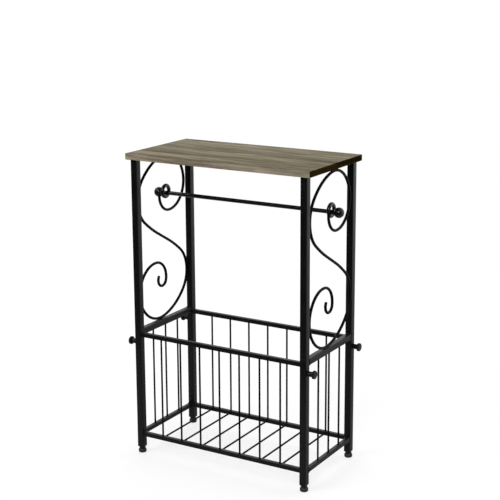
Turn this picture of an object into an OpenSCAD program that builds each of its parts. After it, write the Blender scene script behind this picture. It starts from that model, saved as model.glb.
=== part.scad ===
// Free-standing toilet paper stand: a wood-look table top on four square
// tube posts, S-shaped wire scrolls in both side frames, a paper rod that
// runs through two rings, and a wire basket with screw-in feet.
// Millimetres, +Z up, front towards -Y, origin on the floor under the middle.

/* [Table top] */
// Length of the table top, left to right
top_length = 400; // [384:2:480]
// Width of the table top, front to back
top_width = 210; // [200:2:260]
// Thickness of the table top
top_thickness = 12; // [10:1:20]
// Height of the upper face of the table top above the floor
total_height = 610; // [608:1:660]

/* [Frame] */
// Overhang of the table top past the posts, left and right
side_overhang = 8.25; // [2:0.25:30]
// Overhang of the table top past the posts, front and back
front_overhang = 5.75; // [2:0.25:20]
// Outer side of the square post tube
post_side = 13.5; // [12:0.5:15]
// Wall of the post and rail tubes
tube_wall = 1; // [0.8:0.1:1.5]
// Height at which an upper post stands on its leg
post_seam_height = 260; // [258:1:264]
// Length of post insert inside the upper post
insert_above_seam = 28; // [20:1:40]
// Length of post insert inside the leg
insert_below_seam = 46; // [40:1:60]
// Thickness of the flat strip under the table top
strip_thickness = 2; // [1.5:0.5:3]

/* [Basket] */
// Height of the centre line of the front and back top rails
basket_top_height = 248; // [235:1:250]
// Height of the centre line of the side top rails
side_top_height = 252; // [240:1:252]
// Height of the centre line of all bottom rails
basket_bottom_height = 40; // [32:1:60]
// Side of the square side top rails
side_rail_side = 12; // [8:0.5:12.5]
// Side of the other square rails
rail_side = 8.5; // [6:0.5:10]
// Diameter of the basket rods
rod_wire = 3.7; // [2.5:0.1:4.5]
// Rods across the front, the back and the floor
long_rod_count = 7; // [4:1:11]
// Rods in each side of the basket
side_rod_count = 3; // [2:1:5]

/* [Scroll] */
// Diameter of the scroll wire
scroll_wire = 5.6; // [4:0.1:6]
// Gap between the scroll and the tubes that it touches
scroll_gap = 0.08; // [0.05:0.01:0.3]
// Slope of the straight middle of the scroll below the horizontal, degrees
scroll_slope = 29; // [28.6:0.1:29.4]
// Arc radii of the lower half from the middle out, as shares of the scroll's width
lower_arc_shares = [1.909, 0.363, 0.741, 0.424, 0.329, 0.21, 0.0825];
// Turns of the lower arcs in degrees
lower_arc_turns = [9.5, 93.1, 38, 68.4, 126, 95.4, 206];
// Arc radii of the upper half from the middle out, as shares of the scroll's width
upper_arc_shares = [1.909, 0.363, 0.741, 0.38, 0.32, 0.199];
// Turns of the upper arcs in degrees
upper_arc_turns = [9.5, 93.1, 38, 91, 100.2, 98.2];
// Half of the straight middle, as a share of the scroll's width
scroll_straight_share = 0.114; // [0.112:0.001:0.114]
// Drop of the scroll's lowest point below its middle, as a share of its width
scroll_drop_share = 1; // [1:0.001:1.002]

/* [Paper rod] */
// Diameter of the paper rod
bar_diameter = 8; // [6:0.5:10]
// Diameter of the ball finials
ball_diameter = 20; // [17:0.5:22]
// Gap along the rod between each ring and the flat of its ball
ball_gap = 3.1; // [2:0.1:6]
// Depth of the flat on each ball that meets the bar
ball_flat = 1; // [0.8:0.1:1.2]
// Diameter of the threaded spigot at each end of the bar
spigot_diameter = 5; // [4:0.5:5.5]
// Length of the threaded spigot
spigot_length = 11; // [8:0.5:12]
// Clear diameter inside each ring
ring_bore = 14.8; // [14:0.1:16]
// Thickness of the ring's round bar
ring_wire = 7.6; // [7:0.1:7.8]
// Distance from the scroll's plane in to the ring's plane
ring_inset = 3.4; // [3.2:0.1:4]
// Angle from the scroll's tip to the ring's centre, ahead of square, degrees
ring_lead = 18.2; // [15:0.1:21]
// Gap between the scroll's tip and the ring
ring_gap = 0.25; // [0.1:0.05:0.4]

/* [Thumb screws] */
// Height of the thumb screws
screw_height = 232; // [226:1:236]
// Diameter of the knurled head
knob_diameter = 16; // [12:0.5:17]
// Thickness of the knurled head
knob_thickness = 5; // [3.5:0.5:6]
// Flutes round the knurled head
knob_flutes = 18; // [10:1:24]
// Radius of each flute
flute_radius = 0.6; // [0.4:0.1:0.8]
// Height of the bevel round the head's outer face
knob_bevel = 1; // [0.5:0.1:1.5]
// Diameter of the spacer collar
collar_diameter = 10; // [9:0.5:11]
// Length of the spacer collar
collar_length = 11; // [8:0.5:12]
// Diameter of the threaded stud
stud_diameter = 6; // [5:0.5:6]
// Reach of the stud into the post
stud_reach = 9; // [7:0.5:10]

/* [Feet] */
// Diameter of each foot pad
foot_diameter = 16; // [14:0.5:20]
// Height of each foot pad
foot_height = 8; // [6:0.5:9]
// Height of the leg's lower end above the floor
leg_clearance = 12; // [11:0.5:16]
// Height of the bevel round the top of the pad
foot_bevel = 1.5; // [1:0.1:2]
// Diameter of the stem's round waist above the pad
foot_waist_diameter = 12.5; // [8:0.5:13]
// Diameter of the foot's threaded stem
stem_diameter = 6; // [5:0.5:6]
// Length of stem above the leg's end
stem_length = 16; // [10:1:20]
// Depth of the stem's seat in the pad
stem_seat = 5; // [4:0.5:5.5]
// Length of the threaded socket in the leg's end
socket_length = 22; // [20:1:26]

/* [Table screws] */
// Diameter of the table screw's shank
table_screw_shank = 3.5; // [3:0.1:4]
// Diameter of the table screw's head
table_screw_head = 7; // [6:0.5:8]
// Height of the table screw's head
table_screw_head_height = 2.2; // [1.6:0.1:2.6]
// Depth of the shank in the table top
table_screw_depth = 8; // [6:0.5:8]
// Distance of each table screw from the middle, front to back
table_screw_offset = 60; // [50:1:70]

/* [Clearances] */
// Radial clearance of a thread or a running fit
running_clearance = 0.05; // [0.02:0.01:0.1]
// Radial clearance of a plain screw hole
hole_clearance = 0.3; // [0.2:0.05:0.5]
// Clearance of a square insert in its tube, each side
insert_clearance = 0.05; // [0.03:0.01:0.1]
// Gap under the bar where it lies in the rings
bar_rest_gap = 0.1; // [0.05:0.01:0.15]
// Rise of the smooth joints between the scroll's arcs over the wire
joint_rise = 0.05; // [0.03:0.01:0.1]
// Length by which each arc stops short inside its joint
joint_trim = 0.1; // [0.05:0.01:0.2]
// Depth of a hole past the end of its screw
hole_overrun = 1; // [0.5:0.1:1.5]

/* [Node] */
// Sub-part to draw

/* [Hidden] */
$fn = 64;
left = -1;
right = 1;
front = -1;
back = 1;
half = 1 / 2;
half_post = post_side * half;
half_span = top_length * half - side_overhang - half_post;
half_depth = top_width * half - front_overhang - half_post;
post_depth = half_depth + half_depth;
outer_face = half_span + half_post;
inner_face = half_span - half_post;
clear_depth = post_depth - post_side;
half_clear_depth = clear_depth * half;
top_underside = total_height - top_thickness;
strip_underside = top_underside - strip_thickness;
tube_bore = post_side - tube_wall - tube_wall;
insert_side = tube_bore - insert_clearance - insert_clearance;
side_top_plane = outer_face - side_rail_side * half;
side_bottom_plane = outer_face - rail_side * half;
scroll_plane = outer_face - scroll_wire * half;
scroll_foot = side_top_height + side_rail_side * half;
scroll_room = strip_underside - scroll_foot;
scroll_edge = scroll_wire + scroll_gap + scroll_gap;
scroll_width = min(clear_depth - scroll_edge, (scroll_room - scroll_edge) * half);
scroll_middle_height = scroll_foot + scroll_edge * half + scroll_width * scroll_drop_share;
scroll_straight = scroll_straight_share * scroll_width;
scroll_start = [-scroll_straight * cos(scroll_slope), scroll_straight * sin(scroll_slope), 180 - scroll_slope];
ring_plane = scroll_plane - ring_inset;
ring_radius = (ring_bore + ring_wire) * half;
tip_spacing = (scroll_wire + ring_wire) * half + joint_rise + ring_gap;
tip_reach = ring_radius + sqrt(tip_spacing * tip_spacing - ring_inset * ring_inset);
bar_drop = (ring_bore - bar_diameter) * half - bar_rest_gap;
ball_radius = ball_diameter * half;
ball_seat = ring_plane + ring_wire * half + ball_gap;
ball_reach = ball_seat + ball_radius - ball_flat;
long_rod_pitch = (inner_face + inner_face) / (long_rod_count + 1);
side_rod_pitch = clear_depth / (side_rod_count + 1);
front_rod_bottom = basket_bottom_height + rail_side * half;
front_rod_top = basket_top_height - rail_side * half;
side_rod_top = side_top_height - side_rail_side * half;
floor_rod_length = post_depth - rail_side;
cut_extra = tube_wall;

black = [0.05, 0.05, 0.055];
dark_plastic = [0.08, 0.08, 0.08];
bright_zinc = [0.7, 0.7, 0.72];
wood_look = [0.5, 0.44, 0.38];

// Shapes that several sub-parts share

// Solid square bar along +Z, centred on the axis
module square_bar(side, length) {
    linear_extrude(height = length) square(side, center = true);
}

// Square tube along +Z, centred on the axis
module square_tube(side, wall, length) {
    linear_extrude(height = length)
        difference() {
            square(side, center = true);
            square(side - wall - wall, center = true);
        }
}

// Turns a shape that stands along +Z so that it lies along +X
module along_x() {
    rotate([0, 90, 0]) children();
}

// Turns a shape that stands along +Z so that it lies along +Y
module along_y() {
    rotate([-90, 0, 0]) children();
}

// Square tube along X between the inner faces of two posts
module long_rail(end, height) {
    translate([-inner_face, end * half_depth, height])
        along_x() square_tube(rail_side, tube_wall, inner_face + inner_face);
}

// Square tube along Y between two posts of one side frame
module side_rail(side, plane, rail, height) {
    translate([side * plane, -half_clear_depth, height])
        along_y() square_tube(rail, tube_wall, clear_depth);
}

// Row of upright rods across the front or the back
module long_rod_row(end) {
    for (i = [1:long_rod_count])
        translate([i * long_rod_pitch - inner_face, end * half_depth, front_rod_bottom])
            cylinder(d = rod_wire, h = front_rod_top - front_rod_bottom);
}

// Row of upright rods in one side of the basket
module side_rod_row(side) {
    for (i = [1:side_rod_count])
        translate([side * side_bottom_plane, i * side_rod_pitch - half_clear_depth, front_rod_bottom])
            cylinder(d = rod_wire, h = side_rod_top - front_rod_bottom);
}

// Upper post tube at one corner
module post(side, end) {
    translate([side * half_span, end * half_depth, post_seam_height])
        square_tube(post_side, tube_wall, strip_underside - post_seam_height);
}

// Leg tube at one corner, with the thumb screw's hole in its outer wall
module leg(side, end) {
    translate([side * half_span, end * half_depth, 0])
        difference() {
            translate([0, 0, leg_clearance])
                square_tube(post_side, tube_wall, post_seam_height - leg_clearance);
            rotate([0, 0, side > 0 ? 0 : 180])
                translate([half_post - tube_wall - cut_extra, 0, screw_height])
                    along_x()
                        cylinder(r = stud_diameter * half + hole_clearance, h = tube_wall + cut_extra + cut_extra);
        }
}

// Square insert that joins an upper post to its leg, tapped for the thumb screw
module post_insert(side, end) {
    insert_bottom = post_seam_height - insert_below_seam;
    translate([side * half_span, end * half_depth, 0])
        difference() {
            translate([0, 0, insert_bottom])
                square_bar(insert_side, insert_below_seam + insert_above_seam);
            rotate([0, 0, side > 0 ? 0 : 180])
                translate([half_post - stud_reach - hole_overrun, 0, screw_height])
                    along_x()
                        cylinder(r = stud_diameter * half + running_clearance, h = stud_reach + hole_overrun);
        }
}

// Flat strip across the tops of two posts, with holes for the table screws
module top_strip(side) {
    translate([side * half_span, 0, strip_underside])
        difference() {
            linear_extrude(height = strip_thickness)
                square([post_side, post_depth + post_side], center = true);
            for (end = [front, back])
                translate([0, end * table_screw_offset, -cut_extra])
                    cylinder(r = table_screw_shank * half + hole_clearance,
                             h = strip_thickness + cut_extra + cut_extra);
        }
}

// Position after an arc that turns right: [y, z, heading]
function after_arc(at, radius, turn) = [
    at[0] + radius * (sin(at[2]) - sin(at[2] - turn)),
    at[1] - radius * (cos(at[2]) - cos(at[2] - turn)),
    at[2] - turn
];

// Position before arc number i of a run of arcs
function arc_start(at, shares, turns, i) =
    i == 0 ? at : after_arc(arc_start(at, shares, turns, i - 1), shares[i - 1] * scroll_width, turns[i - 1]);

// Place of the paper rod's rings, from the upper tip of the scroll
upper_tip = arc_start(scroll_start, upper_arc_shares, upper_arc_turns, len(upper_arc_shares));
ring_angle = upper_tip[2] - 90 + ring_lead;
ring_offset = upper_tip[0] + tip_reach * cos(ring_angle);
ring_height = scroll_middle_height + upper_tip[1] + tip_reach * sin(ring_angle);
bar_height = ring_height - bar_drop;

// One arc of wire in the XY plane, turning right from the position at
module wire_arc(at, radius, turn) {
    trim = joint_trim / radius * 180 / PI;
    translate([at[0] + radius * sin(at[2]), at[1] - radius * cos(at[2])])
        rotate([0, 0, at[2] + 90 - turn + trim])
            rotate_extrude(angle = turn - trim - trim)
                translate([radius, 0]) circle(d = scroll_wire);
}

// Round joint between two lengths of wire, with its poles along the wire
module wire_joint(at) {
    translate([at[0], at[1]])
        rotate([0, 0, at[2]])
            along_x() sphere(r = scroll_wire * half + joint_rise);
}

// Straight middle of the scroll along X, with a round joint at each end
module scroll_middle() {
    translate([joint_trim - scroll_straight, 0, 0])
        along_x() cylinder(d = scroll_wire, h = (scroll_straight - joint_trim) / half);
    for (end = [front, back])
        wire_joint([end * scroll_straight, 0, 0]);
}

// Curved half of the scroll in the XY plane, from the straight middle to the tip
module scroll_half(heading, shares, turns) {
    start = [scroll_straight * cos(heading), scroll_straight * sin(heading), heading];
    for (i = [0:len(shares) - 1])
        wire_arc(arc_start(start, shares, turns, i), shares[i] * scroll_width, turns[i]);
    for (i = [1:len(shares)])
        wire_joint(arc_start(start, shares, turns, i));
}

// Whole scroll of one side frame, upright in the side frame's plane
module scroll(side) {
    translate([side * scroll_plane, 0, scroll_middle_height])
        rotate([90, 0, 90])
            union() {
                rotate([0, 0, -scroll_slope]) scroll_middle();
                scroll_half(-scroll_slope, lower_arc_shares, lower_arc_turns);
                scroll_half(180 - scroll_slope, upper_arc_shares, upper_arc_turns);
            }
}

// Ring at the upper end of a scroll, which carries the paper rod
module rod_ring(side) {
    translate([side * ring_plane, ring_offset, ring_height])
        along_x() rotate_extrude() translate([ring_radius, 0]) circle(d = ring_wire);
}

// Ball finial with a flat and a tapped hole towards the bar
module finial(side) {
    translate([0, ring_offset, bar_height])
        rotate([0, 0, side > 0 ? 0 : 180])
            difference() {
                translate([ball_reach, 0, 0]) along_x() sphere(d = ball_diameter, $fn = 96);
                translate([ball_seat - ball_diameter, -ball_radius, -ball_radius]) cube(ball_diameter);
                translate([ball_seat - cut_extra, 0, 0])
                    along_x()
                        cylinder(r = spigot_diameter * half + running_clearance,
                                 h = spigot_length + hole_overrun + cut_extra);
            }
}

// Places a shape that points outwards along +X at one corner's thumb screw
module at_screw(side, end) {
    translate([side * half_span, end * half_depth, screw_height])
        rotate([0, 0, side > 0 ? 0 : 180])
            translate([half_post, 0, 0])
                along_x() children();
}

// Spacer collar between a leg and its thumb screw's head
module collar(side, end) {
    at_screw(side, end)
        translate([0, 0, running_clearance])
            difference() {
                cylinder(d = collar_diameter, h = collar_length);
                translate([0, 0, -cut_extra])
                    cylinder(r = stud_diameter * half + hole_clearance,
                             h = collar_length + cut_extra + cut_extra);
            }
}

// Thumb screw: fluted head with a bevelled face, and the threaded stud
module thumb_screw(side, end) {
    head_start = collar_length + running_clearance + running_clearance;
    at_screw(side, end) {
        difference() {
            union() {
                translate([0, 0, head_start])
                    cylinder(d = knob_diameter, h = knob_thickness - knob_bevel);
                translate([0, 0, head_start + knob_thickness - knob_bevel])
                    cylinder(d1 = knob_diameter, d2 = knob_diameter - knob_bevel - knob_bevel, h = knob_bevel);
            }
            for (i = [1:knob_flutes])
                rotate([0, 0, i * 360 / knob_flutes])
                    translate([knob_diameter * half, 0, head_start - cut_extra])
                        cylinder(r = flute_radius, h = knob_thickness + cut_extra + cut_extra);
        }
        translate([0, 0, -stud_reach]) cylinder(d = stud_diameter, h = stud_reach + head_start);
    }
}

// Tapped plug in the lower end of a leg
module foot_socket(side, end) {
    translate([side * half_span, end * half_depth, leg_clearance])
        difference() {
            square_bar(insert_side, socket_length);
            translate([0, 0, -cut_extra])
                cylinder(r = stem_diameter * half + running_clearance,
                         h = socket_length + cut_extra + cut_extra);
        }
}

// Threaded stem of a foot with the round waist above the pad
module foot_stem(side, end) {
    translate([side * half_span, end * half_depth, 0]) {
        translate([0, 0, foot_height - stem_seat])
            cylinder(d = stem_diameter, h = stem_seat + leg_clearance - foot_height + stem_length);
        translate([0, 0, foot_height + running_clearance])
            cylinder(d = foot_waist_diameter,
                     h = leg_clearance - foot_height - running_clearance - running_clearance);
    }
}

// Round foot pad with a bevelled top and the seat for its stem
module foot_pad(side, end) {
    translate([side * half_span, end * half_depth, 0])
        difference() {
            union() {
                cylinder(d = foot_diameter, h = foot_height - foot_bevel);
                translate([0, 0, foot_height - foot_bevel])
                    cylinder(d1 = foot_diameter, d2 = foot_diameter - foot_bevel - foot_bevel, h = foot_bevel);
            }
            translate([0, 0, foot_height - stem_seat - running_clearance])
                cylinder(r = stem_diameter * half + running_clearance,
                         h = stem_seat + running_clearance + cut_extra);
        }
}

// Table and its fixings

module table_top() {
    color(wood_look)
        difference() {
            translate([0, 0, top_underside])
                linear_extrude(height = top_thickness) square([top_length, top_width], center = true);
            for (side = [left, right], end = [front, back])
                translate([side * half_span, end * table_screw_offset, top_underside - cut_extra])
                    cylinder(r = table_screw_shank * half + running_clearance,
                             h = table_screw_depth + hole_overrun + cut_extra);
        }
}

module left_top_strip() color(black) top_strip(left);
module right_top_strip() color(black) top_strip(right);

module table_screws() {
    color(bright_zinc)
        for (side = [left, right], end = [front, back])
            translate([side * half_span, end * table_screw_offset, 0]) {
                translate([0, 0, strip_underside - table_screw_head_height])
                    cylinder(d = table_screw_head, h = table_screw_head_height);
                translate([0, 0, strip_underside])
                    cylinder(d = table_screw_shank, h = strip_thickness + table_screw_depth);
            }
}

// Side frames

module left_front_post() color(black) post(left, front);
module left_back_post() color(black) post(left, back);
module right_front_post() color(black) post(right, front);
module right_back_post() color(black) post(right, back);

module post_inserts() {
    color(black)
        for (side = [left, right], end = [front, back])
            post_insert(side, end);
}

module left_scroll() color(black) scroll(left);
module right_scroll() color(black) scroll(right);
module left_rod_ring() color(black) rod_ring(left);
module right_rod_ring() color(black) rod_ring(right);

// Basket

module left_front_leg() color(black) leg(left, front);
module left_back_leg() color(black) leg(left, back);
module right_front_leg() color(black) leg(right, front);
module right_back_leg() color(black) leg(right, back);

module front_top_rail() color(black) long_rail(front, basket_top_height);
module back_top_rail() color(black) long_rail(back, basket_top_height);
module left_top_rail() color(black) side_rail(left, side_top_plane, side_rail_side, side_top_height);
module right_top_rail() color(black) side_rail(right, side_top_plane, side_rail_side, side_top_height);
module front_bottom_rail() color(black) long_rail(front, basket_bottom_height);
module back_bottom_rail() color(black) long_rail(back, basket_bottom_height);
module left_bottom_rail() color(black) side_rail(left, side_bottom_plane, rail_side, basket_bottom_height);
module right_bottom_rail() color(black) side_rail(right, side_bottom_plane, rail_side, basket_bottom_height);

module front_rods() color(black) long_rod_row(front);
module back_rods() color(black) long_rod_row(back);
module left_rods() color(black) side_rod_row(left);
module right_rods() color(black) side_rod_row(right);

module floor_rods() {
    color(black)
        for (i = [1:long_rod_count])
            translate([i * long_rod_pitch - inner_face, -floor_rod_length * half, basket_bottom_height])
                along_y() cylinder(d = rod_wire, h = floor_rod_length);
}

// Paper rod

module paper_rod() {
    color(black)
        translate([0, ring_offset, bar_height])
            union() {
                translate([-ball_seat, 0, 0]) along_x() cylinder(d = bar_diameter, h = ball_seat + ball_seat);
                translate([-ball_seat - spigot_length, 0, 0])
                    along_x() cylinder(d = spigot_diameter, h = ball_seat + ball_seat + spigot_length + spigot_length);
            }
}

module left_finial() color(black) finial(left);
module right_finial() color(black) finial(right);

// Thumb screws

module left_front_collar() color(black) collar(left, front);
module left_back_collar() color(black) collar(left, back);
module right_front_collar() color(black) collar(right, front);
module right_back_collar() color(black) collar(right, back);
module left_front_screw() color(black) thumb_screw(left, front);
module left_back_screw() color(black) thumb_screw(left, back);
module right_front_screw() color(black) thumb_screw(right, front);
module right_back_screw() color(black) thumb_screw(right, back);

// Feet

module foot_sockets() {
    color(dark_plastic)
        for (side = [left, right], end = [front, back])
            foot_socket(side, end);
}

module left_front_stem() color(black) foot_stem(left, front);
module left_back_stem() color(black) foot_stem(left, back);
module right_front_stem() color(black) foot_stem(right, front);
module right_back_stem() color(black) foot_stem(right, back);
module left_front_foot() color(dark_plastic) foot_pad(left, front);
module left_back_foot() color(dark_plastic) foot_pad(left, back);
module right_front_foot() color(dark_plastic) foot_pad(right, front);
module right_back_foot() color(dark_plastic) foot_pad(right, back);

table_top();
left_top_strip();
right_top_strip();
table_screws();
left_front_post();
left_back_post();
right_front_post();
right_back_post();
post_inserts();
left_scroll();
right_scroll();
left_rod_ring();
right_rod_ring();
left_front_leg();
left_back_leg();
right_front_leg();
right_back_leg();
front_top_rail();
back_top_rail();
left_top_rail();
right_top_rail();
front_bottom_rail();
back_bottom_rail();
left_bottom_rail();
right_bottom_rail();
front_rods();
back_rods();
left_rods();
right_rods();
floor_rods();
paper_rod();
left_finial();
right_finial();
left_front_collar();
left_back_collar();
right_front_collar();
right_back_collar();
left_front_screw();
left_back_screw();
right_front_screw();
right_back_screw();
foot_sockets();
left_front_stem();
left_back_stem();
right_front_stem();
right_back_stem();
left_front_foot();
left_back_foot();
right_front_foot();
right_back_foot();
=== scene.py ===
import math

import bmesh
import bpy
from mathutils import Matrix, Vector, noise

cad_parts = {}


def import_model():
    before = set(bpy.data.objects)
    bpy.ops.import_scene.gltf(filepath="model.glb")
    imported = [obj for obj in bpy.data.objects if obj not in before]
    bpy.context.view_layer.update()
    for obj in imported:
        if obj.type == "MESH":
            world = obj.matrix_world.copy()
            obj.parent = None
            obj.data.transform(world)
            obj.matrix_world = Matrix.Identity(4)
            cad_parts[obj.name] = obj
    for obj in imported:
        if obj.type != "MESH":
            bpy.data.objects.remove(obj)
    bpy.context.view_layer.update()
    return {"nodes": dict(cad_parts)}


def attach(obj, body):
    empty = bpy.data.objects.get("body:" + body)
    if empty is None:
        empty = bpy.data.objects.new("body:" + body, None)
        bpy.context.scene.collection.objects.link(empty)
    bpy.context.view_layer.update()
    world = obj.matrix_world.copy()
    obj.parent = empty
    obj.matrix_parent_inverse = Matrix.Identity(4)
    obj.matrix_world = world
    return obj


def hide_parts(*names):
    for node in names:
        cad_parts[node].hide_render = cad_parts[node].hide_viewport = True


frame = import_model()

# The CAD model's sizes, in metres
MM = 0.001
SIDES = {"left": -1, "right": 1}
ENDS = {"front": -1, "back": 1}
HALF_SPAN, HALF_DEPTH, POST = 185 * MM, 92.5 * MM, 13.5 * MM
INNER_X, OUTER_X = HALF_SPAN - POST / 2, HALF_SPAN + POST / 2
INNER_Y = HALF_DEPTH - POST / 2
SEAM_Z, LEG_Z, STRIP_Z = 260 * MM, 12 * MM, 596 * MM
TOP_L, TOP_W, TOP_T, TOP_Z = 400 * MM, 210 * MM, 12 * MM, 598 * MM
RAIL, SIDE_RAIL = 8.5 * MM, 12 * MM
TOP_RAIL_Z, SIDE_RAIL_Z, BOTTOM_RAIL_Z = 248 * MM, 252 * MM, 40 * MM
ROD, WIRE, BAR = 3.7 * MM, 5.6 * MM, 8 * MM
SCROLL_X, SCROLL_Z, SCROLL_W = 188.95 * MM, 426.62 * MM, 165.74 * MM
CLEAR = 171.5 * MM
SCREW_Z, COLLAR_L = 232 * MM, 11 * MM
BAR_Y, BAR_Z, BALL_X, BALL_D = 7.349 * MM, 515.411 * MM, 201.45 * MM, 20 * MM
RING_X, RING_Z, RING_R, RING_WIRE = 185.55 * MM, 518.711 * MM, 11.2 * MM, 7.6 * MM
STRIP_T = 2 * MM
LONG_RODS, SIDE_RODS = 7, 3
ROUND_WELD, SQUARE_WELD, WELD_SINK = 1.0 * MM, 0.7 * MM, 0.3 * MM


# Node helpers

def new_material(name):
    mat = bpy.data.materials.new(name)
    mat.use_nodes = True
    nodes, links = mat.node_tree.nodes, mat.node_tree.links
    nodes.clear()
    out = nodes.new("ShaderNodeOutputMaterial")
    bsdf = nodes.new("ShaderNodeBsdfPrincipled")
    links.new(bsdf.outputs["BSDF"], out.inputs["Surface"])
    return mat, nodes, links, bsdf


def place(nodes, links, scale):
    coord = nodes.new("ShaderNodeTexCoord")
    mapping = nodes.new("ShaderNodeMapping")
    mapping.inputs["Scale"].default_value = scale
    links.new(coord.outputs["Object"], mapping.inputs["Vector"])
    return mapping.outputs["Vector"]


def add_noise(nodes, links, vector, scale, detail, rough=0.5, distort=0.0):
    n = nodes.new("ShaderNodeTexNoise")
    n.inputs["Scale"].default_value = scale
    n.inputs["Detail"].default_value = detail
    n.inputs["Roughness"].default_value = rough
    n.inputs["Distortion"].default_value = distort
    links.new(vector, n.inputs["Vector"])
    return n.outputs["Fac"]


def add_range(nodes, links, value, lo, hi, to_lo, to_hi):
    n = nodes.new("ShaderNodeMapRange")
    n.inputs["From Min"].default_value = lo
    n.inputs["From Max"].default_value = hi
    n.inputs["To Min"].default_value = to_lo
    n.inputs["To Max"].default_value = to_hi
    links.new(value, n.inputs["Value"])
    return n.outputs["Result"]


def add_math(nodes, links, kind, a, b):
    n = nodes.new("ShaderNodeMath")
    n.operation = kind
    for k, v in enumerate((a, b)):
        if isinstance(v, (int, float)):
            n.inputs[k].default_value = v
        else:
            links.new(v, n.inputs[k])
    return n.outputs["Value"]


def add_mix(nodes, links, fac, a, b):
    n = nodes.new("ShaderNodeMix")
    n.data_type = "RGBA"
    n_colour = [s for s in n.inputs if s.type == "RGBA"]
    pairs = ((n.inputs[0], fac), (n_colour[0], a), (n_colour[1], b))
    for sock, v in pairs:
        if isinstance(v, (int, float)):
            sock.default_value = v
        elif isinstance(v, tuple):
            sock.default_value = (*v, 1.0)
        else:
            links.new(v, sock)
    return [s for s in n.outputs if s.type == "RGBA"][0]


def add_bump(nodes, links, bsdf, height, strength, distance):
    n = nodes.new("ShaderNodeBump")
    n.inputs["Strength"].default_value = strength
    n.inputs["Distance"].default_value = distance
    links.new(height, n.inputs["Height"])
    links.new(n.outputs["Normal"], bsdf.inputs["Normal"])


# Materials

def powder_coat(name, colour, rough, specular, bump=0.35):
    mat, nodes, links, bsdf = new_material(name)
    bsdf.inputs["Specular IOR Level"].default_value = specular
    v = place(nodes, links, (1, 1, 1))
    cloud = add_noise(nodes, links, v, scale=38, detail=4, rough=0.6)
    grit = add_noise(nodes, links, v, scale=1500, detail=2, rough=0.5)
    peel = add_noise(nodes, links, v, scale=420, detail=3, rough=0.55)
    dark = tuple(c * 0.75 for c in colour)
    pale = tuple(c * 1.35 for c in colour)
    base = add_mix(nodes, links, add_range(nodes, links, cloud, 0.3, 0.7, 0, 1), dark, pale)
    specks = add_range(nodes, links, grit, 0.62, 0.75, 0, 0.35)
    links.new(add_mix(nodes, links, specks, base, tuple(c * 2.2 for c in colour)), bsdf.inputs["Base Color"])
    wear = add_range(nodes, links, cloud, 0.25, 0.75, rough - 0.06, rough + 0.08)
    links.new(wear, bsdf.inputs["Roughness"])
    height = add_math(nodes, links, "ADD", peel, add_math(nodes, links, "MULTIPLY", grit, 0.35))
    add_bump(nodes, links, bsdf, height, bump, 0.00012)
    return mat


def wood(name, along, tint_and_painted_light, specular):
    mat, nodes, links, bsdf = new_material(name)
    bsdf.inputs["Specular IOR Level"].default_value = specular
    scale = [1.0, 1.0, 1.0]
    scale[along] = 0.065
    v = place(nodes, links, tuple(scale))
    wander = add_noise(nodes, links, v, scale=26, detail=3, rough=0.5, distort=0.4)
    band = add_noise(nodes, links, v, scale=60, detail=4, rough=0.6, distort=0.6)
    streak = add_noise(nodes, links, v, scale=130, detail=6, rough=0.62, distort=0.5)
    grain = add_noise(nodes, links, v, scale=330, detail=4, rough=0.6, distort=0.2)
    pores = add_noise(nodes, links, v, scale=900, detail=2, rough=0.5)
    # The tint scales the wood's tones; for the edge copies it also holds painted light and painted shade
    black, dark, mid, pale = (tuple(c * t for c, t in zip(tone, tint_and_painted_light)) for tone in (
        (0.034, 0.028, 0.019), (0.066, 0.055, 0.038), (0.150, 0.132, 0.098), (0.265, 0.236, 0.182)))
    base = add_mix(nodes, links, add_range(nodes, links, wander, 0.38, 0.62, 0, 1), mid, pale)
    base = add_mix(nodes, links, add_range(nodes, links, band, 0.46, 0.66, 0, 0.68), base, dark)
    fine = add_range(nodes, links, streak, 0.48, 0.62, 0, 0.85)
    base = add_mix(nodes, links, fine, base, dark)
    thin = add_range(nodes, links, grain, 0.52, 0.68, 0, 0.6)
    base = add_mix(nodes, links, thin, base, dark)
    light = add_range(nodes, links, grain, 0.3, 0.45, 0.55, 0)
    base = add_mix(nodes, links, light, base, pale)
    hole = add_range(nodes, links, pores, 0.66, 0.74, 0, 0.55)
    base = add_mix(nodes, links, hole, base, black)
    links.new(base, bsdf.inputs["Base Color"])
    links.new(add_range(nodes, links, streak, 0.3, 0.7, 0.52, 0.66), bsdf.inputs["Roughness"])
    height = add_math(nodes, links, "SUBTRACT", add_math(nodes, links, "MULTIPLY", grain, 0.6), hole)
    add_bump(nodes, links, bsdf, height, 0.3, 0.0002)
    return mat


def moulded(name, colour, rough):
    mat, nodes, links, bsdf = new_material(name)
    v = place(nodes, links, (1, 1, 1))
    cloud = add_noise(nodes, links, v, scale=90, detail=3, rough=0.6)
    fine = add_noise(nodes, links, v, scale=1800, detail=2, rough=0.5)
    dark, pale = tuple(c * 0.8 for c in colour), tuple(c * 1.3 for c in colour)
    links.new(add_mix(nodes, links, cloud, dark, pale), bsdf.inputs["Base Color"])
    links.new(add_range(nodes, links, cloud, 0.3, 0.7, rough - 0.05, rough + 0.08), bsdf.inputs["Roughness"])
    add_bump(nodes, links, bsdf, fine, 0.25, 0.0001)
    return mat


def plated(name, colour, rough):
    mat, nodes, links, bsdf = new_material(name)
    bsdf.inputs["Metallic"].default_value = 1.0
    v = place(nodes, links, (1, 1, 1))
    cloud = add_noise(nodes, links, v, scale=160, detail=3, rough=0.6)
    dark, pale = tuple(c * 0.75 for c in colour), tuple(min(1, c * 1.1) for c in colour)
    links.new(add_mix(nodes, links, cloud, dark, pale), bsdf.inputs["Base Color"])
    links.new(add_range(nodes, links, cloud, 0.3, 0.7, rough - 0.08, rough + 0.08), bsdf.inputs["Roughness"])
    return mat


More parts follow.
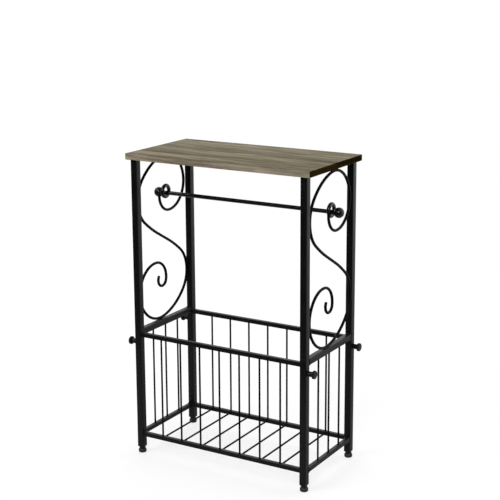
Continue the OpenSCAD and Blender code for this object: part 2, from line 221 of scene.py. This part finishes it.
BLACK = powder_coat("powder_coat", (0.0022, 0.0022, 0.0024), 0.4, 0.25)
WIRE_BLACK = powder_coat("powder_coat_wire", (0.0014, 0.0014, 0.0016), 0.36, 0.06)
BALL = powder_coat("powder_coat_gloss", (0.0016, 0.0016, 0.0018), 0.16, 0.45, 0.05)
WOOD_TOP = wood("laminate_top", 0, (1.12, 1.08, 0.88), 0.05)
# Front and back edges: a lighter, greyer copy of the top's wood, with painted light for the light falling on
# the front
WOOD_EDGE_PAINTED_LIGHT = wood("laminate_front_edge_painted_light", 0, (2.2, 2.08, 2.02), 0.2)
# End edges, left and right: a near-black copy of the same wood, with painted shade for the shade the ends
# sit in
WOOD_END_PAINTED_SHADE = wood("laminate_end_edge_painted_shade", 1, (0.15, 0.105, 0.045), 0.0)
RUBBER = moulded("foot_rubber", (0.012, 0.012, 0.012), 0.5)
ZINC = plated("zinc_plate", (0.62, 0.62, 0.64), 0.35)


# Mesh helpers

def make(name, bm, mats, body, nodes, angle=32):
    me = bpy.data.meshes.new(name)
    bmesh.ops.recalc_face_normals(bm, faces=bm.faces)
    bm.to_mesh(me)
    bm.free()
    ob = bpy.data.objects.new(name, me)
    bpy.context.scene.collection.objects.link(ob)
    for m in mats:
        me.materials.append(m)
    me.shade_smooth()
    for e in me.edges:
        e.use_edge_sharp = False
    mark_sharp(me, angle)
    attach(ob, body)
    if nodes:
        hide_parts(*nodes)


def mark_sharp(me, angle):
    bm = bmesh.new()
    bm.from_mesh(me)
    limit = math.radians(angle)
    for e in bm.edges:
        if len(e.link_faces) == 2 and e.calc_face_angle(0) > limit:
            e.smooth = False
    bm.to_mesh(me)
    bm.free()


def axis_matrix(axis):
    """Turns local Z to the given axis letter, keeping the square's sides level."""
    if axis == "x":
        return Matrix(((0, 0, 1), (1, 0, 0), (0, 1, 0))).to_4x4()
    if axis == "y":
        return Matrix(((1, 0, 0), (0, 0, 1), (0, -1, 0))).to_4x4()
    return Matrix.Identity(4)


def square_ring(side, radius, steps=4):
    pts = []
    h = side / 2 - radius
    for k, (cx, cy) in enumerate(((h, h), (-h, h), (-h, -h), (h, -h))):
        for i in range(steps + 1):
            a = math.radians(90 * k + 90 * i / steps)
            pts.append((cx + radius * math.cos(a), cy + radius * math.sin(a)))
    return pts


def loft(bm, rings, closed=False):
    """Skins rings of equal length; caps the ends unless closed."""
    rows = [[bm.verts.new(p) for p in r] for r in rings]
    n = len(rows[0])
    pairs = list(zip(rows, rows[1:])) + ([(rows[-1], rows[0])] if closed else [])
    for a, b in pairs:
        for i in range(n):
            bm.faces.new((a[i], a[(i + 1) % n], b[(i + 1) % n], b[i]))
    if not closed:
        bm.faces.new(list(reversed(rows[0])))
        bm.faces.new(rows[-1])


def square_bar(bm, start, length, side, axis="z", radius=0.9 * MM, lip=0.35 * MM, first=None):
    """Square tube's outside with rounded corners and ends; first holds the start's (distance, inset)."""
    m = Matrix.Translation(start) @ axis_matrix(axis)
    rings = []
    for z, shrink in (*(first or ((0, lip), (lip, 0))), (length - lip, 0), (length, lip)):
        ring = square_ring(side - 2 * shrink, max(radius - shrink, 0.2 * MM))
        rings.append([m @ Vector((x, y, z)) for x, y in ring])
    loft(bm, rings)


def lathe(bm, profile, centre, axis, steps=32, direction=1):
    """Turns a profile of (distance along the axis, radius) round the axis."""
    m = Matrix.Translation(centre) @ axis_matrix(axis)
    rings = []
    for z, r in profile:
        rings.append([m @ Vector((r * math.cos(2 * math.pi * i / steps),
                                  r * math.sin(2 * math.pi * i / steps), direction * z))
                      for i in range(steps)])
    loft(bm, rings)


def weld_square(bm, centre, side, axis, size, seed):
    """A slightly uneven weld bead round a square rail's end."""
    m = Matrix.Translation(centre) @ axis_matrix(axis)
    path = []
    h = side / 2 + size * 0.15
    per_side = 9
    corners = [(h, -h), (h, h), (-h, h), (-h, -h)]
    for k in range(4):
        (x0, y0), (x1, y1) = corners[k], corners[(k + 1) % 4]
        for i in range(per_side):
            t = i / per_side
            path.append(Vector((x0 + (x1 - x0) * t, y0 + (y1 - y0) * t, 0)))
    rings = []
    count = len(path)
    for i, p in enumerate(path):
        prev, nxt = path[i - 1], path[(i + 1) % count]
        t = (nxt - prev).normalized()
        out = t.cross(Vector((0, 0, 1))).normalized()
        wob = 1 + 0.28 * noise.noise(Vector((i * 0.9, seed * 3.7, 0.5)))
        r = size * wob
        rings.append([m @ (p + out * (r * math.cos(a)) + Vector((0, 0, 1)) * (r * math.sin(a)))
                      for a in (2 * math.pi * j / 8 for j in range(8))])
    loft(bm, rings, closed=True)


def weld_round(bm, centre, axis, radius, size, direction):
    """A small flare where a round rod meets a rail, welded all round."""
    profile = [(0, radius + size), (size * 0.25, radius + size * 0.55),
               (size * 0.6, radius + size * 0.2), (size * 1.2, radius + 0.02 * MM)]
    lathe(bm, profile, centre, axis, 14, direction=direction)


# Table top

def table_top():
    bm = bmesh.new()
    x, y, z0, z1 = TOP_L / 2, TOP_W / 2, TOP_Z, TOP_Z + TOP_T
    bmesh.ops.create_cube(bm, size=1)
    for v in bm.verts:
        v.co = Vector((v.co.x * 2 * x, v.co.y * 2 * y, (z0 + z1) / 2 + v.co.z * (z1 - z0)))
    bmesh.ops.bevel(bm, geom=list(bm.edges), offset=0.7 * MM, segments=3, profile=0.6, affect="EDGES")
    bm.faces.ensure_lookup_table()
    for f in bm.faces:
        n = f.normal
        # Index 1, the front and back faces, takes the painted-light edge wood; index 2, the end faces, takes
        # the painted-shade end wood
        f.material_index = 2 if abs(n.x) > 0.8 else 1 if abs(n.y) > 0.8 else 0
    mats = [WOOD_TOP, WOOD_EDGE_PAINTED_LIGHT, WOOD_END_PAINTED_SHADE]
    make("table_top_board", bm, mats, "stand", ["table_top"], angle=60)


table_top()


# Frame

def posts_and_legs():
    for s, sx in SIDES.items():
        for e, ey in ENDS.items():
            bm = bmesh.new()
            square_bar(bm, (sx * HALF_SPAN, ey * HALF_DEPTH, SEAM_Z), STRIP_Z - SEAM_Z, POST)
            make(f"{s}_{e}_post_tube", bm, [BLACK], "stand", [f"{s}_{e}_post"])
            bm = bmesh.new()
            plug = ((0, 1.3 * MM), (0.35 * MM, 0.6 * MM), (0.8 * MM, 0.2 * MM), (1.4 * MM, 0))
            square_bar(bm, (sx * HALF_SPAN, ey * HALF_DEPTH, LEG_Z), SEAM_Z - LEG_Z, POST, first=plug)
            make(f"{s}_{e}_leg_tube", bm, [BLACK], "stand", [f"{s}_{e}_leg"])


def strips():
    for s, sx in SIDES.items():
        bm = bmesh.new()
        hx, hy = POST / 2, HALF_DEPTH + POST / 2
        bmesh.ops.create_cube(bm, size=1)
        for v in bm.verts:
            v.co = Vector((sx * HALF_SPAN + v.co.x * 2 * hx, v.co.y * 2 * hy,
                           STRIP_Z + STRIP_T / 2 + v.co.z * STRIP_T))
        bmesh.ops.bevel(bm, geom=list(bm.edges), offset=0.3 * MM, segments=2, affect="EDGES")
        make(f"{s}_top_strip_plate", bm, [BLACK], "stand", [f"{s}_top_strip"])


def rails():
    seed = 1
    for e, ey in ENDS.items():
        for tag, z in (("top", TOP_RAIL_Z), ("bottom", BOTTOM_RAIL_Z)):
            bm = bmesh.new()
            square_bar(bm, (-INNER_X, ey * HALF_DEPTH, z), 2 * INNER_X, RAIL, "x", 0.8 * MM, 0.1 * MM)
            for sx in (-1, 1):
                end = (sx * (INNER_X - WELD_SINK), ey * HALF_DEPTH, z)
                weld_square(bm, end, RAIL, "x", SQUARE_WELD, seed)
                seed += 1
            make(f"{e}_{tag}_rail_tube", bm, [BLACK], "stand", [f"{e}_{tag}_rail"])
    for s, sx in SIDES.items():
        for tag, z, side in (("top", SIDE_RAIL_Z, SIDE_RAIL), ("bottom", BOTTOM_RAIL_Z, RAIL)):
            bm = bmesh.new()
            x = sx * (OUTER_X - side / 2)
            square_bar(bm, (x, -INNER_Y, z), 2 * INNER_Y, side, "y", 0.9 * MM, 0.1 * MM)
            for ey in (-1, 1):
                end = (x, ey * (INNER_Y - WELD_SINK), z)
                weld_square(bm, end, side, "y", SQUARE_WELD, seed)
                seed += 1
            make(f"{s}_{tag}_rail_tube", bm, [BLACK], "stand", [f"{s}_{tag}_rail"])


def rods():
    z0, z1 = BOTTOM_RAIL_Z + RAIL / 2, TOP_RAIL_Z - RAIL / 2
    pitch = 2 * INNER_X / (LONG_RODS + 1)
    for e, ey in ENDS.items():
        bm = bmesh.new()
        for i in range(1, LONG_RODS + 1):
            x = i * pitch - INNER_X
            lathe(bm, [(0, ROD / 2), (z1 - z0, ROD / 2)], (x, ey * HALF_DEPTH, z0), "z", 16)
            weld_round(bm, (x, ey * HALF_DEPTH, z0), "z", ROD / 2, ROUND_WELD, 1)
            weld_round(bm, (x, ey * HALF_DEPTH, z1), "z", ROD / 2, ROUND_WELD, -1)
        make(f"{e}_basket_rods", bm, [WIRE_BLACK], "stand", [f"{e}_rods"])
    top = SIDE_RAIL_Z - SIDE_RAIL / 2
    for s, sx in SIDES.items():
        bm = bmesh.new()
        x = sx * (OUTER_X - RAIL / 2)
        for i in range(1, SIDE_RODS + 1):
            y = i * CLEAR / (SIDE_RODS + 1) - CLEAR / 2
            lathe(bm, [(0, ROD / 2), (top - z0, ROD / 2)], (x, y, z0), "z", 16)
            weld_round(bm, (x, y, z0), "z", ROD / 2, ROUND_WELD, 1)
            weld_round(bm, (x, y, top), "z", ROD / 2, ROUND_WELD, -1)
        make(f"{s}_basket_rods", bm, [WIRE_BLACK], "stand", [f"{s}_rods"])
    bm = bmesh.new()
    y0 = HALF_DEPTH - RAIL / 2
    for i in range(1, LONG_RODS + 1):
        x = i * pitch - INNER_X
        lathe(bm, [(0, ROD / 2), (2 * y0, ROD / 2)], (x, -y0, BOTTOM_RAIL_Z), "y", 16)
        weld_round(bm, (x, -y0, BOTTOM_RAIL_Z), "y", ROD / 2, ROUND_WELD, 1)
        weld_round(bm, (x, y0, BOTTOM_RAIL_Z), "y", ROD / 2, ROUND_WELD, -1)
    make("basket_floor_rods", bm, [WIRE_BLACK], "stand", ["floor_rods"])


posts_and_legs()
strips()
rails()
rods()


# Scrolls

# Each arc of the wire: its radius as a share of the scroll's width, and its turn in degrees
LOWER = ((1.909, 9.5), (0.363, 93.1), (0.741, 38), (0.424, 68.4), (0.329, 126), (0.21, 95.4), (0.0825, 206))
UPPER = ((1.909, 9.5), (0.363, 93.1), (0.741, 38), (0.38, 91), (0.32, 100.2), (0.199, 98.2))
SCROLL_SLOPE, STRAIGHT_SHARE = 29, 0.114
STRAIGHT_STEPS, DEGREES_A_STEP = 8, 3


def scroll_path():
    """Points of the wire's centre line in the YZ plane, from the lower tip to the upper one."""
    halves = []
    for heading, arcs in ((-SCROLL_SLOPE, LOWER), (180 - SCROLL_SLOPE, UPPER)):
        straight = STRAIGHT_SHARE * SCROLL_W
        pts = []
        for k in range(STRAIGHT_STEPS):
            d = straight * (k + 1) / STRAIGHT_STEPS
            pts.append((d * math.cos(math.radians(heading)), d * math.sin(math.radians(heading))))
        y, z = pts[-1]
        a = heading
        for share, turn in arcs:
            r = share * SCROLL_W
            cy, cz = y + r * math.sin(math.radians(a)), z - r * math.cos(math.radians(a))
            count = max(6, int(turn / DEGREES_A_STEP))
            for k in range(1, count + 1):
                b = math.radians(a - turn * k / count)
                pts.append((cy - r * math.sin(b), cz + r * math.cos(b)))
            y, z = pts[-1]
            a -= turn
        halves.append(pts)
    return list(reversed(halves[0])) + [(0, 0)] + halves[1]


def tube(bm, points, radius, plane_axis, steps=14):
    """Round tube with domed ends along a flat path; plane_axis is the path plane's normal."""
    dome, flatten = ((0.5, 0.866), (0.82, 0.57), (0.98, 0.2)), 0.7
    rings = []
    n = len(points)
    for i, p in enumerate(points):
        a, b = points[max(i - 1, 0)], points[min(i + 1, n - 1)]
        t = (b - a).normalized()
        side = t.cross(plane_axis).normalized()
        ring = []
        for j in range(steps):
            ang = 2 * math.pi * j / steps
            ring.append(p + radius * (math.cos(ang) * side + math.sin(ang) * plane_axis))
        rings.append(ring)
    ends = []
    for i, sign in ((0, -1), (n - 1, 1)):
        p = points[i]
        t = (points[1] - points[0]).normalized() if i == 0 else (points[-1] - points[-2]).normalized()
        side = t.cross(plane_axis).normalized()
        cap = []
        for lift, share in dome:
            c = p + t * (sign * radius * lift * flatten)
            cap.append([c + radius * share * (math.cos(g) * side + math.sin(g) * plane_axis)
                        for g in (2 * math.pi * j / steps for j in range(steps))])
        ends.append(cap)
    loft(bm, list(reversed(ends[0])) + rings + ends[1])


def scrolls():
    path = scroll_path()
    around, across = 48, 18
    for s, sx in SIDES.items():
        bm = bmesh.new()
        pts = [Vector((sx * SCROLL_X, y, SCROLL_Z + z)) for y, z in path]
        tube(bm, pts, WIRE / 2, Vector((1, 0, 0)))
        make(f"{s}_scroll_wire", bm, [WIRE_BLACK], "stand", [f"{s}_scroll"])
        bm = bmesh.new()
        rings = []
        for i in range(around):
            a = 2 * math.pi * i / around
            ring = []
            for j in range(across):
                b = 2 * math.pi * j / across
                r = RING_R + RING_WIRE / 2 * math.cos(b)
                ring.append(Vector((sx * RING_X + RING_WIRE / 2 * math.sin(b),
                                    BAR_Y + r * math.cos(a), RING_Z + r * math.sin(a))))
            rings.append(ring)
        loft(bm, rings, closed=True)
        make(f"{s}_ring_loop", bm, [BALL], "stand", [f"{s}_rod_ring"])


scrolls()


# Paper rod and its ball finials

BALL_FLAT, BALL_STEPS, BALL_TIP_ANGLE = 1 * MM, 24, 0.06
BORE_R, BORE_L, BORE_LIP = 2.55 * MM, 12 * MM, 0.3 * MM
SPIGOT_R, SPIGOT_L, SPIGOT_TIP = 2.5 * MM, 11 * MM, 2.1 * MM


def paper_rod():
    bm = bmesh.new()
    flat = BALL_X - BALL_D / 2 + BALL_FLAT
    chamfer = 0.4 * MM
    lathe(bm, [(0, BAR / 2 - chamfer), (chamfer, BAR / 2),
               (2 * flat - chamfer, BAR / 2), (2 * flat, BAR / 2 - chamfer)],
          (-flat, BAR_Y, BAR_Z), "x", 32)
    make("paper_rod_bar", bm, [BALL], "paper_rod", ["paper_rod"])
    for s, sx in SIDES.items():
        bm = bmesh.new()
        lathe(bm, [(-0.02 * MM, SPIGOT_R), (SPIGOT_L - 0.5 * MM, SPIGOT_R), (SPIGOT_L, SPIGOT_TIP)],
              (sx * flat, BAR_Y, BAR_Z), "x", 24, direction=sx)
        make(f"{s}_spigot", bm, [ZINC], "paper_rod", [])
        bm = bmesh.new()
        r = BALL_D / 2
        start = math.acos((r - BALL_FLAT) / r)
        profile = [(BORE_L, BORE_R * 0.2), (BORE_L, BORE_R), (BORE_LIP, BORE_R)]
        for k in range(BALL_STEPS + 1):
            a = start + (math.pi - BALL_TIP_ANGLE - start) * k / BALL_STEPS
            profile.append((r - BALL_FLAT - r * math.cos(a), r * math.sin(a)))
        lathe(bm, profile, (sx * flat, BAR_Y, BAR_Z), "x", 48, direction=sx)
        body = "right_finial" if s == "right" else "paper_rod"
        make(f"{s}_ball_finial", bm, [BALL], body, [f"{s}_finial"])


paper_rod()


# Thumb screws

COLLAR_R, COLLAR_BORE, COLLAR_ROUND = 5 * MM, 3.35 * MM, 0.5 * MM
STUD_REACH, STUD_R, STUD_PITCH = 9 * MM, 3 * MM, 1 * MM
KNOB_STEPS, KNOB_FLUTES, FLUTE_SHARE = 108, 18, 0.8
# Knob from its seat round to the dish in its face, in mm: distance, radius, depth of the flutes
KNOB = ((0, 7.2, 0), (0.5, 7.9, 0.4), (0.9, 8.0, 0.8), (3.9, 8.0, 0.8), (4.5, 7.6, 0.35), (4.9, 7.0, 0),
        (5.0, 6.2, 0), (4.7, 5.8, 0), (4.6, 4.8, 0), (4.85, 3.0, 0), (4.95, 0.6, 0))


def thumb_screws():
    for s, sx in SIDES.items():
        for e, ey in ENDS.items():
            y = ey * HALF_DEPTH
            bm = bmesh.new()
            near, far = 0.05 * MM, COLLAR_L + 0.05 * MM
            lathe(bm, [(near, COLLAR_BORE), (near, COLLAR_R - COLLAR_ROUND), (COLLAR_ROUND, COLLAR_R),
                       (COLLAR_L - 0.4 * MM, COLLAR_R), (far, COLLAR_R - COLLAR_ROUND), (far, COLLAR_BORE)],
                  (sx * OUTER_X, y, SCREW_Z), "x", 32, direction=sx)
            make(f"{s}_{e}_collar_sleeve", bm, [BLACK], f"{s}_{e}_collar", [f"{s}_{e}_collar"])
            bm = bmesh.new()
            start = COLLAR_L + 0.1 * MM
            m = Matrix.Translation((sx * OUTER_X, y, SCREW_Z)) @ axis_matrix("x")
            rings = []
            for z, rad, depth in KNOB:
                ring = []
                for i in range(KNOB_STEPS):
                    a = 2 * math.pi * i / KNOB_STEPS
                    cut = depth * max(0.0, math.cos(KNOB_FLUTES * a)) ** 2 * FLUTE_SHARE
                    rr = (rad - cut) * MM
                    ring.append(m @ Vector((rr * math.cos(a), rr * math.sin(a), sx * (start + z * MM))))
                rings.append(ring)
            loft(bm, rings)
            thread(bm, (sx * OUTER_X, y, SCREW_Z), "x", -STUD_REACH, start, STUD_R, STUD_PITCH, sx)
            make(f"{s}_{e}_thumb_screw", bm, [BLACK], f"{s}_{e}_screw", [f"{s}_{e}_screw"])


def thread(bm, centre, axis, z0, z1, radius, pitch, direction):
    """Screw thread as turned ridges, one a pitch."""
    core, crest = radius - 0.45 * MM, radius - 0.02 * MM
    profile = [(z0, radius * 0.75)]
    z = z0 + 0.4 * MM
    while z < z1 - pitch:
        profile += [(z, core), (z + pitch * 0.45, crest), (z + pitch * 0.55, crest)]
        z += pitch
    profile += [(z, core), (z1, core)]
    lathe(bm, profile, centre, axis, 20, direction=direction)


thumb_screws()


# Feet

PAD_R, PAD_H, PAD_BORE = 8 * MM, 8 * MM, 3.05 * MM
WAIST_R, WAIST_Z0, WAIST_Z1, WAIST_ROUND = 6.25 * MM, 8.05 * MM, 11.95 * MM, 0.5 * MM
STEM_Z0, STEM_Z1 = 11.5 * MM, 28 * MM


def feet():
    for s, sx in SIDES.items():
        for e, ey in ENDS.items():
            x, y = sx * HALF_SPAN, ey * HALF_DEPTH
            bm = bmesh.new()
            lathe(bm, [(2.95 * MM, PAD_BORE), (0, 3.2 * MM), (0, PAD_R - 2 * MM),
                       (0.5 * MM, PAD_R - 0.9 * MM), (1.4 * MM, PAD_R - 0.2 * MM),
                       (2.4 * MM, PAD_R), (5.6 * MM, PAD_R),
                       (6.6 * MM, PAD_R - 0.4 * MM), (7.5 * MM, PAD_R - 1.2 * MM),
                       (PAD_H, PAD_R - 2.1 * MM), (PAD_H, PAD_BORE)],
                  (x, y, 0), "z", 40)
            make(f"{s}_{e}_foot_pad", bm, [RUBBER], f"{s}_{e}_foot", [f"{s}_{e}_foot"])
            bm = bmesh.new()
            thread(bm, (x, y, 0), "z", STEM_Z0, STEM_Z1, STUD_R, STUD_PITCH, 1)
            lathe(bm, [(3.1 * MM, 2.6 * MM), (WAIST_Z0, 2.9 * MM), (WAIST_Z0, WAIST_R - WAIST_ROUND),
                       (8.5 * MM, WAIST_R), (11.5 * MM, WAIST_R),
                       (WAIST_Z1, WAIST_R - WAIST_ROUND), (WAIST_Z1, 2.5 * MM)],
                  (x, y, 0), "z", 32)
            make(f"{s}_{e}_foot_stud", bm, [BALL], f"{s}_{e}_stem", [f"{s}_{e}_stem"])


feet()

# Hidden CAD nodes keep their solids and get their finish here
for name, mat in (("table_screws", ZINC), ("post_inserts", BLACK), ("foot_sockets", RUBBER)):
    node = frame["nodes"][name]
    if not node.material_slots:
        node.data.materials.append(mat)
    for slot in node.material_slots:
        slot.material = mat


# Stage, lights and camera

FLOOR_CORNERS, FLOOR_Z = ((-1.3, -0.5), (1.3, -0.5), (1.3, 1.6), (-1.3, 1.6)), -0.0002


def backdrop():
    """A pale floor that the camera sees as white, apart from the stand's shadow."""
    bm = bmesh.new()
    for x, y in FLOOR_CORNERS:
        bm.verts.new((x, y, FLOOR_Z))
    bm.faces.new(bm.verts)
    me = bpy.data.meshes.new("floor")
    bm.to_mesh(me)
    bm.free()
    floor = bpy.data.objects.new("floor", me)
    bpy.context.scene.collection.objects.link(floor)
    mat = bpy.data.materials.new("floor_paint")
    mat.use_nodes = True
    nodes, links = mat.node_tree.nodes, mat.node_tree.links
    nodes.clear()
    out = nodes.new("ShaderNodeOutputMaterial")
    paint = nodes.new("ShaderNodeBsdfDiffuse")
    paint.inputs["Color"].default_value = (0.5, 0.5, 0.5, 1)
    seen = nodes.new("ShaderNodeBsdfDiffuse")
    seen.inputs["Color"].default_value = (0.4, 0.4, 0.4, 1)
    glow = nodes.new("ShaderNodeEmission")
    glow.inputs["Strength"].default_value = 0.64
    lift = nodes.new("ShaderNodeAddShader")
    links.new(seen.outputs[0], lift.inputs[0])
    links.new(glow.outputs[0], lift.inputs[1])
    path = nodes.new("ShaderNodeLightPath")
    mix = nodes.new("ShaderNodeMixShader")
    links.new(path.outputs["Is Camera Ray"], mix.inputs[0])
    links.new(paint.outputs[0], mix.inputs[1])
    links.new(lift.outputs[0], mix.inputs[2])
    links.new(mix.outputs[0], out.inputs["Surface"])
    me.materials.append(mat)


def world():
    """White sweep behind the stand, a dark room in front of it, and plain white to the camera."""
    w = bpy.data.worlds.new("studio")
    bpy.context.scene.world = w
    w.use_nodes = True
    nodes, links = w.node_tree.nodes, w.node_tree.links
    nodes.clear()
    out = nodes.new("ShaderNodeOutputWorld")
    coord = nodes.new("ShaderNodeTexCoord")
    split = nodes.new("ShaderNodeSeparateXYZ")
    links.new(coord.outputs["Generated"], split.inputs[0])
    room = nodes.new("ShaderNodeBackground")
    room.inputs["Color"].default_value = (1, 1, 1, 1)
    links.new(add_range(nodes, links, split.outputs["Y"], -0.45, 0.5, 0.07, 1.2), room.inputs["Strength"])
    white = nodes.new("ShaderNodeBackground")
    white.inputs["Color"].default_value = (1, 1, 1, 1)
    white.inputs["Strength"].default_value = 1.0
    path = nodes.new("ShaderNodeLightPath")
    seen = add_math(nodes, links, "MAXIMUM",
                    path.outputs["Is Camera Ray"], path.outputs["Is Transmission Ray"])
    mix = nodes.new("ShaderNodeMixShader")
    links.new(seen, mix.inputs[0])
    links.new(room.outputs[0], mix.inputs[1])
    links.new(white.outputs[0], mix.inputs[2])
    links.new(mix.outputs[0], out.inputs["Surface"])


def sun_light(name, toward, angle, strength):
    data = bpy.data.lights.new(name, "SUN")
    data.angle = math.radians(angle)
    data.energy = strength
    ob = bpy.data.objects.new(name, data)
    ob.location = Vector(toward) * 2
    ob.rotation_euler = Vector(toward).to_track_quat("Z", "Y").to_euler()
    bpy.context.scene.collection.objects.link(ob)


def camera():
    # Solved from the photograph: place, aim, roll, focal length and the centre of its framing
    eye, aim = Vector((1.21817, -2.00999, 1.00334)), Vector((0.01485, 0, 0.48260))
    focal_px, roll, shift = 1251.67, 0.0051, -0.06
    sensor_mm, image_px = 36, 500
    data = bpy.data.cameras.new("camera")
    data.sensor_width = sensor_mm
    data.lens = focal_px * sensor_mm / image_px
    data.shift_y = shift
    data.clip_start, data.clip_end = 0.05, 50
    cam = bpy.data.objects.new("camera", data)
    cam.location = eye
    look = (aim - eye).to_track_quat("-Z", "Y").to_matrix()
    cam.rotation_euler = (look @ Matrix.Rotation(-roll, 3, "Z")).to_euler()
    bpy.context.scene.collection.objects.link(cam)
    bpy.context.scene.camera = cam


backdrop()
world()
sun_light("key", (-0.35, -0.62, 0.70), 34, 1.05)
sun_light("glint", (0.3, -0.8, 0.45), 28, 1.2)
camera()
bpy.context.scene.view_settings.view_transform = "Standard"
